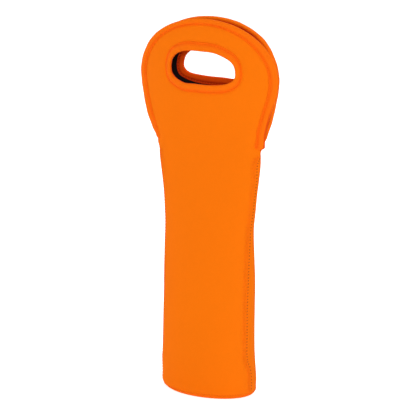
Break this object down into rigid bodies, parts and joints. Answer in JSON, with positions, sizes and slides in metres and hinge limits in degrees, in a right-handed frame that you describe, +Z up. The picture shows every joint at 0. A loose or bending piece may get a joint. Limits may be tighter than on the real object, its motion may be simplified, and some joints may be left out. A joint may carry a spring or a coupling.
{
  "type": "bottle carrier",
  "caption": "Tall foam-knit carrier for one bottle: an oval sleeve seamed up its sides, opening into two round handles with hand holes bound in tape.",
  "frame": {"origin": "middle of the base, on the floor it stands on", "axes": "+Z up along the bottle, +X to the right across the handles, the front faces -Y"},
  "size_m": [0.1486, 0.0652, 0.3862],
  "materials": {
    "outer_knit": "matte knit over foam",
    "inner_knit": "matte knit over foam",
    "binding_tape": "smooth stretch tape",
    "seam_thread": "twisted thread"
  },
  "bodies": {
    "sleeve": {"front_sleeve_shell": "outer_knit", "back_sleeve_shell": "outer_knit", "front_sleeve_lining": "inner_knit", "back_sleeve_lining": "inner_knit", "base_shell": "outer_knit", "base_lining": "inner_knit", "left_side_seam": "seam_thread", "right_side_seam": "seam_thread", "base_seam": "seam_thread"},
    "front_handle": {"front_handle_shell": "outer_knit", "front_handle_lining": "inner_knit", "front_rim_binding": "binding_tape", "front_grip_binding": "binding_tape", "front_rim_stitching": "seam_thread", "front_grip_stitching": "seam_thread"},
    "back_handle": {"back_handle_shell": "outer_knit", "back_handle_lining": "inner_knit", "back_rim_binding": "binding_tape", "back_grip_binding": "binding_tape", "back_rim_stitching": "seam_thread", "back_grip_stitching": "seam_thread"}
  },
  "joints": [
    {"name": "front_handle_fold", "type": "hinge", "parent": "sleeve", "child": "front_handle", "pos_m": [0, -0.013, 0.256], "axis": [1, 0, 0], "range_deg": [0, 50], "stiffness_Nm_per_rad": 0.06},
    {"name": "back_handle_fold", "type": "hinge", "parent": "sleeve", "child": "back_handle", "pos_m": [0, 0.013, 0.256], "axis": [-1, 0, 0], "range_deg": [0, 50], "stiffness_Nm_per_rad": 0.06}
  ]
}
